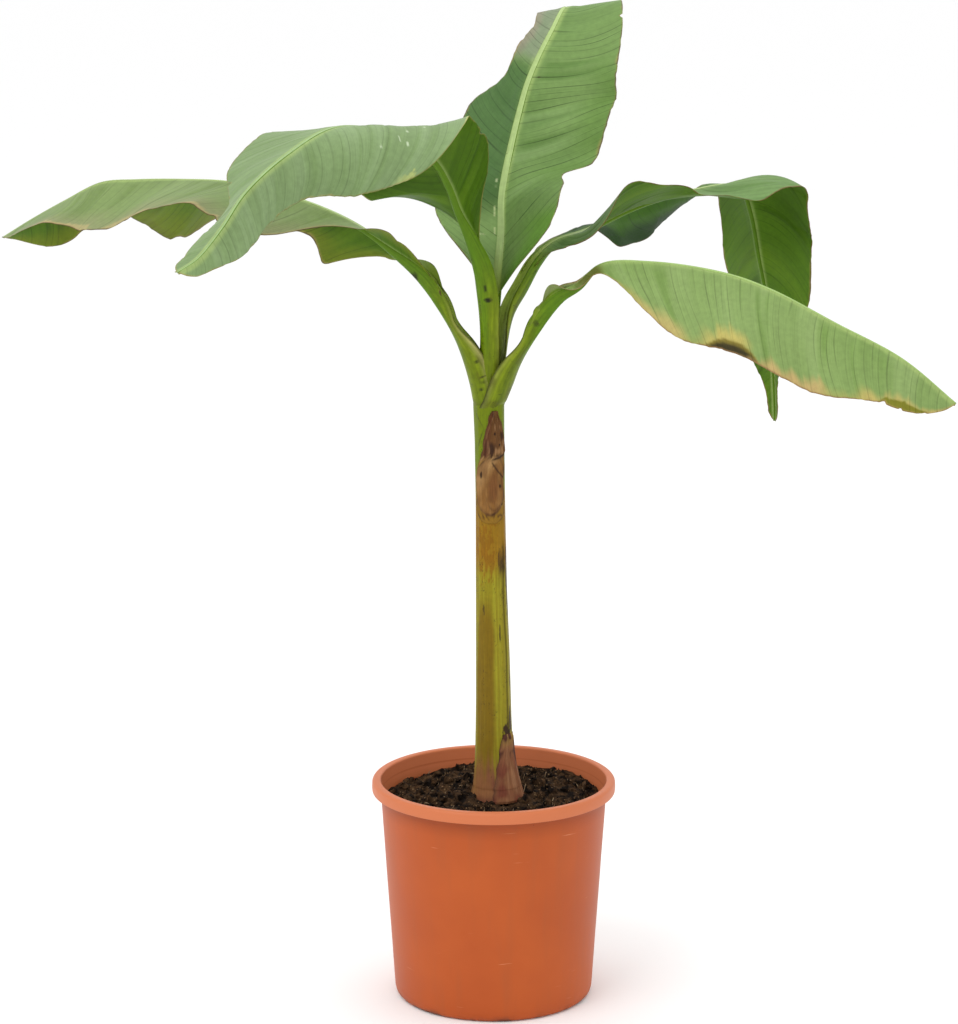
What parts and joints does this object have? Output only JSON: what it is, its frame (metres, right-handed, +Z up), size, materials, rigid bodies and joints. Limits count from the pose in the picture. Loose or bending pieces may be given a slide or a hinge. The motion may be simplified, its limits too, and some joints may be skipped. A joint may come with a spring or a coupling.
{
  "type": "potted banana plant",
  "caption": "Young banana plant in a round nursery pot: a tapering false stem in compost, with arching, folded paddle leaves on channelled stalks.",
  "frame": {"origin": "middle of the pot's flat underside, on the floor", "axes": "+Z up along the pot's axis, -Y towards the viewer of the front, +X to the right"},
  "size_m": [1.1277, 0.7153, 1.2208],
  "materials": {
    "terracotta_plastic": "satin",
    "compost": "matte",
    "stem_sheath": "satin",
    "dry_sheath": "matte",
    "leaf_stalk": "satin",
    "leaf_blade": "satin"
  },
  "bodies": {
    "root": {"pot": "terracotta_plastic", "compost": "compost", "false_stem": "stem_sheath", "dried_sheath": "dry_sheath", "foot_sheath": "dry_sheath", "upright_leaf_stalk": "leaf_stalk", "upright_leaf_blade": "leaf_blade", "left_front_leaf_stalk": "leaf_stalk", "left_front_leaf_blade_near": "leaf_blade", "left_front_leaf_blade_far": "leaf_blade", "far_left_leaf_stalk": "leaf_stalk", "far_left_leaf_blade": "leaf_blade", "right_back_leaf_stalk": "leaf_stalk", "right_back_leaf_blade_near": "leaf_blade", "right_back_leaf_blade_far": "leaf_blade", "right_front_leaf_stalk": "leaf_stalk", "right_front_leaf_blade": "leaf_blade"}
  },
  "joints": []
}
